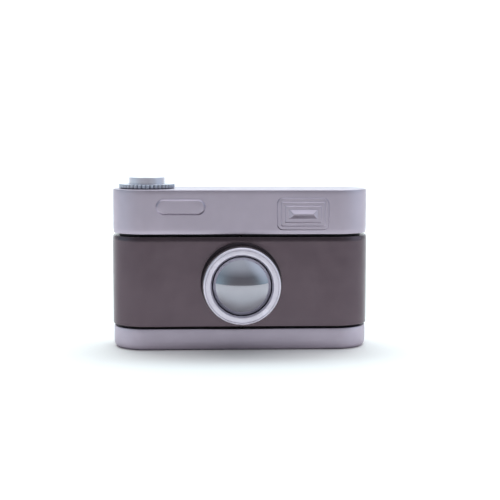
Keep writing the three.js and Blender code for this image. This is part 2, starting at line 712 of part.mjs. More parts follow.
function shutterDial() {
  const grooveInner = stemRadius - CIRCLIP_GROOVE;
  const grooveOuter = stemRadius + BEYOND;
  let shape = knurledDisc().add(rod(stemRadius, stemEnd, dialTop));
  shape = shape.subtract(rod(buttonBore, stemFloor, dialTop + BEYOND));
  const plungerHole = PLUNGER_RADIUS + RUN_GAP;
  shape = shape.subtract(rod(plungerHole, stemEnd - BEYOND, stemFloor + BEYOND, [0, 0], SMALL_ROUND));
  shape = shape.subtract(
    tube(grooveInner, grooveOuter, circlipBottom - SEAT_GAP, circlipTop + SEAT_GAP),
  );
  for (let index = 0; index < DETENTS; index += 1) {
    const notch = new THREE.BoxGeometry(2 * DETENT_BALL_RADIUS, DETENT_SIDE, DETENT_SIDE);
    notch.rotateX(Math.PI / 4);
    notch.translate(detentX, 0, stemEnd);
    notch.rotateZ(index / DETENTS * 2 * Math.PI);
    shape = shape.subtract(solid(notch));
  }
  return shape;
}

function shutterButton() {
  const neck = PLUNGER_RADIUS - PLUNGER_NECK;
  return turnedUpright([
    [0, plungerEnd],
    [PLUNGER_RADIUS, plungerEnd],
    [PLUNGER_RADIUS, buttonClipBottom - SEAT_GAP],
    [neck, buttonClipBottom - SEAT_GAP],
    [neck, buttonClipTop + SEAT_GAP],
    [PLUNGER_RADIUS, buttonClipTop + SEAT_GAP],
    [PLUNGER_RADIUS, pistonBottom],
    [BUTTON_RADIUS, pistonBottom],
    [BUTTON_RADIUS, buttonTop - BUTTON_EDGE],
    [BUTTON_RADIUS - BUTTON_EDGE, buttonTop],
    [0, buttonTop],
  ]);
}

function dialBush() {
  const sleeve = tube(bushInner, bushOuter, -DIAL_ROOF, flangeTop);
  return sleeve.add(tube(bushInner, flangeRadius, flangeBottom, flangeTop));
}

// Cap that closes the dial pocket and holds the click ball on its spring
function mechanismCap() {
  const bossRadius = detentHole + DETENT_BOSS_WALL;
  const bossAt = [detentX, 0];
  const disc = rod(pocketRadius - PRESS_GAP, capBottom, capTop);
  const boss = rod(bossRadius, capBottom, stemEnd - DETENT_BOSS_GAP, bossAt, SMALL_ROUND);
  const hole = rod(detentHole, capBottom + CAP_FLOOR, 0, bossAt, SMALL_ROUND);
  return disc.add(boss.intersect(rod(pocketRadius - PRESS_GAP, capBottom, 0))).subtract(hole);
}

function addDial(group) {
  const dialWasherBottom = dialWasherTop - DIAL_WASHER_THICKNESS;
  const detentBall = new THREE.SphereGeometry(DETENT_BALL_RADIUS, ...SMALL_BALL_STEPS);
  const detentLow = capBottom + CAP_FLOOR + SEAT_GAP;
  const detentHigh = detentBallZ - DETENT_BALL_RADIUS - SEAT_GAP;
  const detentCoil = DETENT_BALL_RADIUS - DETENT_SPRING_WIRE;
  const detentSpring = coil(detentCoil, DETENT_SPRING_WIRE, detentLow, detentHigh, DETENT_SPRING_TURNS);
  const circlipInner = stemRadius - CIRCLIP_GROOVE + PRESS_GAP;
  const neck = PLUNGER_RADIUS - PLUNGER_NECK + PRESS_GAP;
  const buttonClip = openRing(
    neck, PLUNGER_RADIUS + BUTTON_CLIP_REACH, buttonClipBottom, buttonClipTop, BUTTON_CLIP_OPENING,
  );
  const springRadius = (buttonBore + PLUNGER_RADIUS) / 2;
  const springLow = stemFloor + SEAT_GAP;
  const springHigh = pistonBottom - SEAT_GAP;
  const buttonSpring = coil(springRadius, BUTTON_SPRING_WIRE, springLow, springHigh, BUTTON_SPRING_TURNS);
  piece(group, "dial_bush", dialBush(), slippery);
  piece(group, "dial_washer", tube(bushInner, circlipOuter, dialWasherBottom, dialWasherTop), slippery);
  piece(group, "mechanism_cap", mechanismCap(), steel);
  piece(group, "detent_spring", detentSpring.translate(detentX, 0, 0), springSteel);
  piece(group, "detent_ball", solid(detentBall).translate(detentX, 0, detentBallZ), brightSteel);
  piece(group, "shutter_dial", shutterDial(), steel);
  piece(group, "dial_circlip",
    openRing(circlipInner, circlipOuter, circlipBottom, circlipTop, CIRCLIP_OPENING), springSteel);
  piece(group, "button_spring", buttonSpring, springSteel);
  piece(group, "shutter_button", shutterButton(), steel);
  piece(group, "button_clip", buttonClip, springSteel);
}

const cameraToy = new THREE.Group();
cameraToy.name = "camera_fidget_toy";

const dial = new THREE.Group();
dial.name = "dial";
dial.position.set(dialX, 0, coverTop);

addFrame(cameraToy);
addSlider(cameraToy);
addDial(dial);
cameraToy.add(dial);

export default cameraToy;
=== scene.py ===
# Looks of a camera-shaped fidget toy, in metres: X to the right, Y to the back, Z up.
import json
import math

import bmesh
import bpy
from mathutils import Matrix, Vector


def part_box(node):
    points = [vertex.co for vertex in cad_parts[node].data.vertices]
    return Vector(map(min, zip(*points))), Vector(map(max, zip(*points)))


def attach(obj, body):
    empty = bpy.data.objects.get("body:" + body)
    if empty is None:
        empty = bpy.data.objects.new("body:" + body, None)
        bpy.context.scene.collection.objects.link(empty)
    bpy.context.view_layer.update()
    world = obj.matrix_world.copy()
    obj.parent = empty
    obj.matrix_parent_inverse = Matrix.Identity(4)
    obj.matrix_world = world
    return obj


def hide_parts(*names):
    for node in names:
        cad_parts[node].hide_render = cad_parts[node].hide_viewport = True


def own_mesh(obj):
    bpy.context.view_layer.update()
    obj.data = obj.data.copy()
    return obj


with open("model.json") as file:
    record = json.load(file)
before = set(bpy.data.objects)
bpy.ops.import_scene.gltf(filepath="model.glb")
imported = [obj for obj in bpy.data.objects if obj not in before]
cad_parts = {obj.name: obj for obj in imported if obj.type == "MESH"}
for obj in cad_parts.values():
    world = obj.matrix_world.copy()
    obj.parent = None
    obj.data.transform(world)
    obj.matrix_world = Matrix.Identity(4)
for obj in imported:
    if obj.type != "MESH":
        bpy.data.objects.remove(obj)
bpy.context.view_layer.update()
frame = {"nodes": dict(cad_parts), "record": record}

MM = 0.001

# Camera, with its tilt in degrees
CAMERA_EYE = (-7.3 * MM, -212.78 * MM, 41.3 * MM)
CAMERA_LENS = 77.08
SENSOR_WIDTH = 36
CAMERA_YAW = -2.513
CAMERA_PITCH = 6.037
CAMERA_ROLL = 0.104
CAMERA_CLIP = 10 * MM

# Stage
FLOOR_HALF_WIDTH = 3.0
FLOOR_FRONT = -3.0
SWEEP_START = 0.9
SWEEP_RADIUS = 0.5
WALL_TOP = 2.2
SWEEP_STEPS = 24
OVERHEAD_SIZE = (2.0, 1.3)
OVERHEAD_PLACE = (0.0, 0.7, 1.5)
OVERHEAD_POWER = 13.5
OVERHEAD_COLOUR = (0.98, 0.99, 1.0)
BACKDROP_LIGHT_SIZE = (1.2, 0.8)
BACKDROP_LIGHT_PLACE = (0.0, 0.55, 1.3)
BACKDROP_LIGHT_AIM = (0.0, 1.3, 0.35)
BACKDROP_LIGHT_POWER = 13.0
BACKDROP_LIGHT_COLOUR = (0.60, 0.92, 1.0)
WINDOW_DIRECTION = (0.78, 0.11, 0.62)
WINDOW_RISE = (0.60, 1.12)
WINDOW_TONE = (1.1, 1.25, 1.42)

# The room's colours by the sine of the elevation, and where the front gives way to the sides
ROOM_FRONT = [
    (0.0, (0.335, 0.34, 0.35)),
    (0.12, (0.262, 0.262, 0.284)),
    (0.40, (0.25, 0.252, 0.275)),
    (0.62, (0.45, 0.472, 0.51)),
    (0.82, (0.715, 0.757, 0.81)),
    (1.0, (0.83, 0.893, 0.95)),
]
ROOM_AROUND = [
    (0.0, (0.50, 0.68, 0.76)),
    (0.40, (0.42, 0.53, 0.60)),
    (1.0, (0.83, 0.893, 0.95)),
]
ASIDE_RISE = (-0.98, -0.10)

# Fineness of the meshes
WELD = 1e-7
TURN_STEPS = 144
SMALL_TURN_STEPS = 64
CORNER_STEPS = 20
SIDE_STEPS = 12
SIDE_LEAST = 12 * MM
ROUND_STEPS = 5
EASE_STEPS = 8
BALL_CUTS = 31
SHARP_ANGLE = 40
ROUND_SHARE = 0.45
NORMAL_WEIGHT = 100

# Covers and slide body
COVER_CORNER = 6.6 * MM
BODY_CORNER = 6.75 * MM
BASE_FILLET = 1.0 * MM
BASE_RIM_ROUND = 0.15 * MM
BODY_EDGE_ROUND = 0.12 * MM
TOP_LOWER_ROUND = 0.15 * MM
TOP_UPPER_ROUND = 0.15 * MM
EASE_SPAN = 0.9 * MM
BASE_FOOT_EASE = 0.05 * MM
BASE_HEAD_EASE = 0.05 * MM
BODY_HEAD_EASE = 0.1 * MM
TOP_FOOT_EASE = 0.08 * MM
TOP_HEAD_EASE = 0.04 * MM
LEAST_CORNER = 0.12 * MM
BEYOND = 1.0 * MM

# Reliefs on the front of the top cover
RELIEF_ROOT = 0.5 * MM
PILL_LENGTH = 9.55 * MM
PILL_HEIGHT = 3.12 * MM
PILL_RAISE = 0.45 * MM
PILL_SILL = 0.05 * MM
PILL_SLOPE = 0.36 * MM
PILL_X = -11.6 * MM
PILL_DROP = 3.25 * MM
FLASH_WIDTH = 10.1 * MM
FLASH_HEIGHT = 6.3 * MM
FLASH_CORNER = 1.2 * MM
FLASH_X = 11.9 * MM
FLASH_DROP = 4.6 * MM
FLASH_STEPS = 3
FLASH_STEP_RISE = 0.24 * MM
FLASH_RISER_SLOPE = 0.2 * MM
FLASH_TREAD = 0.55 * MM
FLASH_ROOF_RISE = 0.8 * MM
FLASH_RIDGE = 0.1 * MM
RELIEF_EDGE_ROUND = 0.04 * MM

# Guide, screws and magnets
SIDES = ("left", "right")
MAGNET_PLACES = ("left", "middle", "right")
PRESS_GAP = 0.05 * MM
SEAT_GAP = 0.02 * MM
SLIDE_TRAVEL = 6.0 * MM
POST_CLEARANCE = 0.1 * MM
SPIGOT_RADIUS = 1.45 * MM
SCREW_RADIUS = 1.25 * MM
SCREW_HEAD_HEIGHT = 1.4 * MM
SCREW_EDGE = 0.08 * MM
SOCKET_RADIUS = 0.87 * MM
SOCKET_DEPTH = 0.9 * MM
HEX_SIDES = 6

# Lens
SHANK_RADIUS = 7.45 * MM
BARREL_BORE = 7.1 * MM
BARREL_RADIUS = 7.5 * MM
BARREL_FOOT_HEIGHT = 0.6 * MM
BARREL_MOUTH = 6.95 * MM
BARREL_MOUTH_DEPTH = 1.9 * MM
LENS_EDGE = 0.06 * MM
RING_THICKNESS = 0.95 * MM
RING_EDGE = 0.15 * MM
RING_FACE_INNER = 6.0 * MM
RING_APERTURE = 5.7 * MM
RING_BEVEL_DEPTH = 0.55 * MM
RING_LIP = 0.1 * MM
RING_SPIGOT_INNER = 6.44 * MM
RING_SPIGOT_OUTER = 6.85 * MM
RING_LINE_INSET = 0.32 * MM
RING_LINE_WIDTH = 0.16 * MM
RING_LINE_DEPTH = 0.16 * MM
SNAP_WIRE_RADIUS = 0.2 * MM
SNAP_WIRE_BACK = 0.5 * MM
SNAP_WIRE_PLAY = 0.05 * MM

# Dial and button
DIAL_TEETH = 40
TOOTH_STEPS = 8
TOOTH_DEPTH = 0.35 * MM
TOOTH_SHARPNESS = 0.9
DIAL_THICKNESS = 0.75 * MM
DIAL_EDGE = 0.12 * MM
DIAL_STEM = 4.42 * MM
DIAL_FLOOR = 0.8 * MM
BUTTON_BORE = 3.67 * MM
PLUNGER_HOLE = 1.0 * MM
PLUNGER_RADIUS = 0.9 * MM
BUTTON_LENGTH = 2.9 * MM
BUTTON_EDGE = 0.2 * MM
BUTTON_DISH = 0.08 * MM
BUSH_BORE_GAP = 0.1 * MM
BUSH_WALL = 0.45 * MM
FLANGE_THICKNESS = 0.3 * MM
CIRCLIP_GROOVE = 0.35 * MM
PLUNGER_NECK = 0.3 * MM
DETENTS = 16
DETENT_SIDE = 0.5 * MM

# How a noise is read, the painted shade in creases, and the paler tone on edges that is partly wear and
# partly painted highlight
NOISE_ROUGHNESS = 0.55
NOISE_RANGE = (0.3, 0.7)
LINE_DETAIL = 2
# Painted shade: a dark tone mixed into creases and grooves by how concave they are.
CREASE_SHADE_TONE = (0.03, 0.035, 0.045)
CREASE_SHADE_SHARE = 0.85
CREASE_SHADE_RANGE = (0.38, 0.49)
# Partly wear, partly a painted highlight: a paler tone mixed into convex edges.
EDGE_WEAR_GLINT_GAIN = 1.25
EDGE_WEAR_GLINT_SHARE = 0.5
EDGE_WEAR_GLINT_RANGE = (0.52, 0.62)

# Colour sockets of the mix node
MIX_FIRST, MIX_SECOND, MIX_RESULT = 6, 7, 2

# Finishes. Tones run from dark to light and gloss from low to high roughness;
# a grain is cells per metre and detail, and a relief is a strength and a depth.
PLAIN_METAL = {
    "metallic": 1.0,
    "tone_grain": (700, 3),
    "gloss_grain": (1500, 4),
    "relief_grain": (6000, 2),
    "relief": (0.10, 0.01 * MM),
    "stretch": (1, 1, 4),
}
FINISHES = {
    "blasted_steel": {
        "metallic": 1.0,
        "tones": ((0.443, 0.392, 0.463), (0.473, 0.418, 0.493)),
        "tone_grain": (180, 3),
        "gloss": (0.34, 0.42),
        "gloss_grain": (420, 4),
        "relief": (0.12, 0.02 * MM),
        "relief_grain": (7000, 2),
    },
    "dark_coated_steel": {
        "metallic": 1.0,
        "tones": ((0.107, 0.080, 0.094), (0.119, 0.090, 0.105)),
        "tone_grain": (140, 3),
        "gloss": (0.20, 0.27),
        "gloss_grain": (300, 4),
        "relief": (0.05, 0.01 * MM),
        "relief_grain": (5000, 2),
    },
    "mirror_steel": {
        "metallic": 1.0,
        "tones": ((0.36, 0.353, 0.394), (0.39, 0.384, 0.426)),
        "tone_grain": (250, 3),
        "gloss": (0.03, 0.09),
        "gloss_grain": (900, 5),
        "relief": (0.02, 0.005 * MM),
        "relief_grain": (2500, 3),
        "stretch": (1, 6, 1),
    },
    # Near-black tone: the dial bush's flange under the knurl shows as a dark line where the gap's shade
    # falls, partly the polymer's own colour and partly painted shade.
    "slippery_plastic": {
        "metallic": 0.0,
        "specular": 0.2,
        "tones": ((0.012, 0.012, 0.014), (0.022, 0.022, 0.025)),
        "tone_grain": (900, 3),
        "gloss": (0.45, 0.62),
        "gloss_grain": (1500, 4),
        "relief": (0.15, 0.01 * MM),
        "relief_grain": (5000, 2),
    },
    "floor_white": {
        "metallic": 0.0,
        "tones": ((0.945, 0.885, 0.85), (0.96, 0.90, 0.865)),
        "tone_grain": (6, 3),
        "gloss": (0.85, 0.95),
        "gloss_grain": (200, 3),
        "relief": (0.02, 0.05 * MM),
        "relief_grain": (900, 4),
    },
    "bright_steel": {
        **PLAIN_METAL, "tones": ((0.66, 0.66, 0.69), (0.74, 0.74, 0.77)), "gloss": (0.10, 0.20),
    },
    "spring_steel": {
        **PLAIN_METAL, "tones": ((0.36, 0.36, 0.38), (0.46, 0.46, 0.48)), "gloss": (0.28, 0.42),
    },
    "magnet": {
        **PLAIN_METAL, "tones": ((0.56, 0.54, 0.50), (0.66, 0.64, 0.60)), "gloss": (0.18, 0.30),
    },
}

# Turned finishes, with their turning lines per metre
TURNED_TONE_GRAIN = (600, 3)
TURNED_GRAIN = (9000, 2)
TURNED_RELIEF = (0.10, 0.01 * MM)
TURNED_FINISHES = {
    "screw_steel": {
        "tones": ((0.30, 0.30, 0.32), (0.38, 0.38, 0.40)), "gloss": (0.24, 0.38), "lines": 12000,
    },
    "dark_turned_steel": {
        "tones": ((0.10, 0.085, 0.095), (0.13, 0.11, 0.12)), "gloss": (0.24, 0.36), "lines": 9000,
    },
    "bright_turned_steel": {
        "tones": ((0.695, 0.65, 0.735), (0.75, 0.705, 0.79)), "gloss": (0.34, 0.48), "lines": 9000,
    },
    "knurled_steel": {
        "tones": ((0.48, 0.50, 0.57), (0.56, 0.58, 0.65)), "gloss": (0.30, 0.42), "lines": 9000,
    },
    "button_steel": {
        "tones": ((0.60, 0.58, 0.65), (0.67, 0.65, 0.72)), "gloss": (0.30, 0.40), "lines": 9000,
    },
}


class Extent:
    """Where a CAD node lies at rest."""

    def __init__(self, node):
        self.low, self.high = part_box(node)
        self.middle = (self.low + self.high) / 2
        self.half = (self.high - self.low) / 2


def object_from(name, bm):
    """A new object from a bmesh, with its points welded and its faces turned outwards."""
    bmesh.ops.remove_doubles(bm, verts=bm.verts, dist=WELD)
    bmesh.ops.recalc_face_normals(bm, faces=bm.faces)
    mesh = bpy.data.meshes.new(name)
    bm.to_mesh(mesh)
    bm.free()
    obj = bpy.data.objects.new(name, mesh)
    bpy.context.scene.collection.objects.link(obj)
    return obj


def bridge(bm, rings, closed):
    """Quads between neighbouring rings of points."""
    loops = [[bm.verts.new(point) for point in ring] for ring in rings]
    following = loops[1:] + (loops[:1] if closed else [])
    for one, two in zip(loops, following):
        for here in range(len(one)):
            there = (here + 1) % len(one)
            bm.faces.new((one[here], one[there], two[there], two[here]))
    return loops


def softened(corners, radius, closed):
    """The points of a section with its corners rounded, apart from those on the axis."""
    points = []
    for index, corner in enumerate(corners):
        corner = Vector(corner)
        last = index == len(corners) - 1
        if not closed and (index == 0 or last):
            points.append(corner)
            continue
        before = Vector(corners[index - 1]) - corner
        after = Vector(corners[(index + 1) % len(corners)]) - corner
        reach = min(radius, before.length * ROUND_SHARE, after.length * ROUND_SHARE)
        start = corner + before.normalized() * reach
        end = corner + after.normalized() * reach
        for step in range(ROUND_STEPS + 1):
            share = step / ROUND_STEPS
            points.append(start.lerp(corner, share).lerp(corner.lerp(end, share), share))
    return points


def rounded_outline(half_width, half_depth, radius, inset):
    """A rectangle with round corners, drawn in by an inset, whose long sides have points too."""
    corner = max(radius - inset, LEAST_CORNER)
    span_x = max(half_width - inset - corner, 0)
    span_y = max(half_depth - inset - corner, 0)
    arcs = []
    for quarter, (sign_x, sign_y) in enumerate(((1, 1), (-1, 1), (-1, -1), (1, -1))):
        arc = []
        for step in range(CORNER_STEPS + 1):
            angle = (quarter + step / CORNER_STEPS) * math.pi / 2
            arc.append(Vector((sign_x * span_x + corner * math.cos(angle),
                               sign_y * span_y + corner * math.sin(angle))))
        arcs.append(arc)
    points = []
    for arc, following in zip(arcs, arcs[1:] + arcs[:1]):
        points += arc
        start, end = arc[-1], following[0]
        if (end - start).length > SIDE_LEAST:
            points += [start.lerp(end, step / SIDE_STEPS) for step in range(1, SIDE_STEPS)]
    return points


def slab(name, half_width, half_depth, radius, levels, place):
    """A rounded block built from levels, each an inset and a height, and then put in place."""
    bm = bmesh.new()
    rings = []
    for inset, height in levels:
        outline = rounded_outline(half_width, half_depth, radius, inset)
        rings.append([place @ Vector((x, y, height)) for x, y in outline])
    loops = bridge(bm, rings, closed=False)
    bm.faces.new(loops[0])
    bm.faces.new(loops[-1])
    return object_from(name, bm)


def quarter_round(low, radius):
    """Levels of a round edge at the foot of a block."""
    levels = []
    for step in range(ROUND_STEPS + 1):
        angle = step / ROUND_STEPS * math.pi / 2
        levels.append((radius * (1 - math.sin(angle)), low + radius * (1 - math.cos(angle))))
    return levels


def head_round(high, radius):
    """The same at its head."""
    return [(inset, high - rise) for inset, rise in reversed(quarter_round(0, radius))]


def ease():
    """A side that eases in: its share of the inset, and how far it is from the edge."""
    shares = [step / EASE_STEPS for step in range(1, EASE_STEPS + 1)]
    return [((1 - share) ** 2, EASE_SPAN * share) for share in shares]


def block_levels(low, high, foot, head, foot_ease=0, head_ease=0):
    """Levels of a block with round edges, whose sides may ease in a little towards them."""
    levels = [(inset + foot_ease, height) for inset, height in quarter_round(low, foot)]
    head_levels = [(inset + head_ease, height) for inset, height in head_round(high, head)]
    if foot_ease:
        levels += [(foot_ease * inset, levels[-1][1] + rise) for inset, rise in ease()]
    if head_ease:
        levels += [(head_ease * inset, head_levels[0][1] - rise) for inset, rise in reversed(ease())]
    return levels + head_levels


def tooth_groove(angle):
    """How deep the knurl is at an angle, from none on a crest to all in a groove."""
    return (1 - abs(math.sin(angle * DIAL_TEETH / 2))) ** TOOTH_SHARPNESS


def turned(name, section, axis, centre, closed=True, steps=TURN_STEPS, knurled=None):
    """A section of radius and place along the axis, turned about that axis through the centre.
    A knurled radius is cut by the teeth."""
    bm = bmesh.new()
    rings = []
    for radius, along in section:
        ring = []
        for step in range(steps):
            angle = step / steps * 2 * math.pi
            reach = radius
            if knurled is not None and radius > knurled:
                reach -= TOOTH_DEPTH * tooth_groove(angle)
            across, up = reach * math.cos(angle), reach * math.sin(angle)
            ring.append(centre + Vector((across, along, up) if axis == "Y" else (across, up, along)))
        rings.append(ring)
    bridge(bm, rings, closed)
    return object_from(name, bm)


def plug(radius, low, high, x, y, steps=SMALL_TURN_STEPS):
    """An upright cylinder that cuts a hole."""
    section = [(0, low), (radius, low), (radius, high), (0, high)]
    return turned("cutter", section, "Z", Vector((x, y, 0)), closed=False, steps=steps)


def combine(obj, other, operation):
    """Joins another solid to an object, or cuts it away."""
    modifier = obj.modifiers.new(operation, "BOOLEAN")
    modifier.operation = operation
    modifier.solver = "EXACT"
    modifier.object = other
    bpy.context.view_layer.update()
    whole = obj.evaluated_get(bpy.context.evaluated_depsgraph_get())
    mesh = bpy.data.meshes.new_from_object(whole)
    obj.modifiers.clear()
    obj.data = mesh
    bpy.data.objects.remove(other)


def cut_groove(obj, inner, outer, low, high, axis, centre):
    """Cuts a square groove round an axis."""
    section = [(inner, low), (outer, low), (outer, high), (inner, high)]
    combine(obj, turned("cutter", section, axis, centre), "DIFFERENCE")


def cut_snap_groove(obj, inner):
    """Cuts the room for the wire that keeps the bezel on the barrel."""
    half = SNAP_WIRE_RADIUS + SNAP_WIRE_PLAY
    middle = Extent("lens_ring").low.y + RING_THICKNESS + SNAP_WIRE_BACK
    outer = BARREL_MOUTH + SNAP_WIRE_RADIUS
    cut_groove(obj, inner, outer, middle - half, middle + half, "Y", lens_centre())


def smooth(obj):
    """Smooth faces with crisp edges, and flat faces kept flat."""
    obj.data.shade_smooth()
    obj.data.set_sharp_from_angle(angle=math.radians(SHARP_ANGLE))
    weighted = obj.modifiers.new("weighted_normals", "WEIGHTED_NORMAL")
    weighted.keep_sharp = True
    weighted.weight = NORMAL_WEIGHT


def dress(obj, material, *nodes):
    """Gives a piece its material and lets it stand for CAD nodes of one body."""
    smooth(obj)
    obj.data.materials.clear()
    obj.data.materials.append(material)
    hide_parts(*nodes)
    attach(obj, body_names[nodes[0]])


# Materials

class Finish:
    """A metal or plastic surface made of nodes."""

    def __init__(self, name, metallic):
        self.material = bpy.data.materials.new(name)
        self.material.use_nodes = True
        self.tree = self.material.node_tree
        self.shader = self.tree.nodes["Principled BSDF"]
        self.shader.inputs["Metallic"].default_value = metallic
        self.place = self.node("ShaderNodeTexCoord").outputs["Object"]
        self.normal = None

    def node(self, kind, **values):
        node = self.tree.nodes.new(kind)
        for key, value in values.items():
            setattr(node, key, value)
        return node

    def link(self, source, target):
        self.tree.links.new(source, target)

    def noise(self, scale, detail, stretch=None):
        """A noise over the object, in cells per metre, drawn out by a stretch."""
        noise = self.node("ShaderNodeTexNoise")
        noise.inputs["Scale"].default_value = scale
        noise.inputs["Detail"].default_value = detail
        noise.inputs["Roughness"].default_value = NOISE_ROUGHNESS
        source = self.place
        if stretch is not None:
            mapping = self.node("ShaderNodeMapping")
            mapping.inputs["Scale"].default_value = stretch
            self.link(source, mapping.inputs["Vector"])
            source = mapping.outputs["Vector"]
        self.link(source, noise.inputs["Vector"])
        return noise.outputs["Fac"]

    def rings(self, scale, centre, axis):
        """Fine turning lines round an axis, in lines per metre."""
        shift = self.node("ShaderNodeVectorMath", operation="SUBTRACT")
        shift.inputs[1].default_value = centre
        self.link(self.place, shift.inputs[0])
        flat = self.node("ShaderNodeVectorMath", operation="MULTIPLY")
        flat.inputs[1].default_value = (1, 0, 1) if axis == "Y" else (1, 1, 0)
        self.link(shift.outputs["Vector"], flat.inputs[0])
        length = self.node("ShaderNodeVectorMath", operation="LENGTH")
        self.link(flat.outputs["Vector"], length.inputs[0])
        noise = self.node("ShaderNodeTexNoise", noise_dimensions="1D")
        noise.inputs["Scale"].default_value = scale
        noise.inputs["Detail"].default_value = LINE_DETAIL
        self.link(length.outputs["Value"], noise.inputs["W"])
        return noise.outputs["Fac"]

    def colour(self, source, dark, light):
        """Tone that varies between two colours."""
        ramp = self.node("ShaderNodeValToRGB")
        for element, position in zip(ramp.color_ramp.elements, NOISE_RANGE):
            element.position = position
        ramp.color_ramp.elements[0].color = (*dark, 1)
        ramp.color_ramp.elements[1].color = (*light, 1)
        self.link(source, ramp.inputs["Fac"])
        self.link(ramp.outputs["Color"], self.shader.inputs["Base Color"])
        return ramp.outputs["Color"]

    def painted_crease_shade(self, tone):
        """Painted shade: mixes a dark tone into creases and grooves, where shade falls."""
        full, none = CREASE_SHADE_RANGE
        return self.by_pointiness(tone, CREASE_SHADE_TONE, (full, CREASE_SHADE_SHARE), (none, 0))

    def edge_wear_and_glint(self, tone, light):
        """Mixes a paler tone into convex edges, partly wear and partly a painted highlight."""
        none, full = EDGE_WEAR_GLINT_RANGE
        edge = tuple(min(1.0, value * EDGE_WEAR_GLINT_GAIN) for value in light)
        return self.by_pointiness(tone, edge, (none, 0), (full, EDGE_WEAR_GLINT_SHARE))

    def by_pointiness(self, tone, other, start, end):
        """Mixes in another tone by how convex the surface is.
        The start and the end are each a convexity and a share."""
        geometry = self.node("ShaderNodeNewGeometry")
        reach = self.node("ShaderNodeMapRange")
        reach.inputs["From Min"].default_value, reach.inputs["To Min"].default_value = start
        reach.inputs["From Max"].default_value, reach.inputs["To Max"].default_value = end
        self.link(geometry.outputs["Pointiness"], reach.inputs["Value"])
        mix = self.node("ShaderNodeMix", data_type="RGBA")
        mix.inputs[MIX_SECOND].default_value = (*other, 1)
        self.link(reach.outputs["Result"], mix.inputs[0])
        self.link(tone, mix.inputs[MIX_FIRST])
        self.link(mix.outputs[MIX_RESULT], self.shader.inputs["Base Color"])
        return mix.outputs[MIX_RESULT]

    def gloss(self, source, low, high):
        """Roughness that varies between two values."""
        reach = self.node("ShaderNodeMapRange")
        reach.inputs["From Min"].default_value, reach.inputs["From Max"].default_value = NOISE_RANGE
        reach.inputs["To Min"].default_value = low
        reach.inputs["To Max"].default_value = high
        self.link(source, reach.inputs["Value"])
        self.link(reach.outputs["Result"], self.shader.inputs["Roughness"])

    def bump(self, source, strength, depth):
        """Fine relief, added to what is there already."""
        bump = self.node("ShaderNodeBump")
        bump.inputs["Strength"].default_value = strength
        bump.inputs["Distance"].default_value = depth
        self.link(source, bump.inputs["Height"])
        if self.normal is not None:
            self.link(self.normal, bump.inputs["Normal"])
        self.normal = bump.outputs["Normal"]
        self.link(self.normal, self.shader.inputs["Normal"])


def grained(name):
    """A finish whose tone, gloss and fine relief each follow a noise."""
    values = FINISHES[name]
    finish = Finish(name, values["metallic"])
    if "specular" in values:
        finish.shader.inputs["Specular IOR Level"].default_value = values["specular"]
    finish.colour(finish.noise(*values["tone_grain"]), *values["tones"])
    finish.gloss(finish.noise(*values["gloss_grain"]), *values["gloss"])
    finish.bump(finish.noise(*values["relief_grain"], values.get("stretch")), *values["relief"])
    return finish.material


def turned_steel(kind, centre, axis, suffix=""):
    """Steel with fine turning lines round an axis, painted shade in creases and edges paled partly by wear,
    partly by a painted highlight.
    """
    values = TURNED_FINISHES[kind]
    finish = Finish(kind + suffix, 1.0)
    tone = finish.colour(finish.noise(*TURNED_TONE_GRAIN), *values["tones"])
    finish.edge_wear_and_glint(finish.painted_crease_shade(tone), values["tones"][1])
    finish.gloss(finish.rings(values["lines"], centre, axis), *values["gloss"])
    finish.bump(finish.rings(values["lines"], centre, axis), *TURNED_RELIEF)
    finish.bump(finish.noise(*TURNED_GRAIN), *TURNED_RELIEF)
    return finish.material


# Pieces

def raised(x, z):
    """Puts a block that is drawn lying down on the front of the top cover."""
    front = -Extent("top_cover").high.y
    return Matrix.Translation((x, front, z)) @ Matrix.Rotation(math.pi / 2, 4, "X")


def flash_levels():
    """Steps of the flash window, ending in a hipped roof with a short ridge."""
    levels = [(0, -RELIEF_ROOT)]
    step_in = FLASH_RISER_SLOPE + FLASH_TREAD
    for step in range(FLASH_STEPS):
        levels.append((step * step_in, step * FLASH_STEP_RISE))
        levels.append((step * step_in + FLASH_RISER_SLOPE, (step + 1) * FLASH_STEP_RISE))
    roof = FLASH_STEPS * FLASH_STEP_RISE
    levels.append((FLASH_STEPS * step_in, roof))
    levels.append((FLASH_HEIGHT / 2 - FLASH_RIDGE, roof + FLASH_ROOF_RISE))
    return softened(levels, RELIEF_EDGE_ROUND, closed=False)


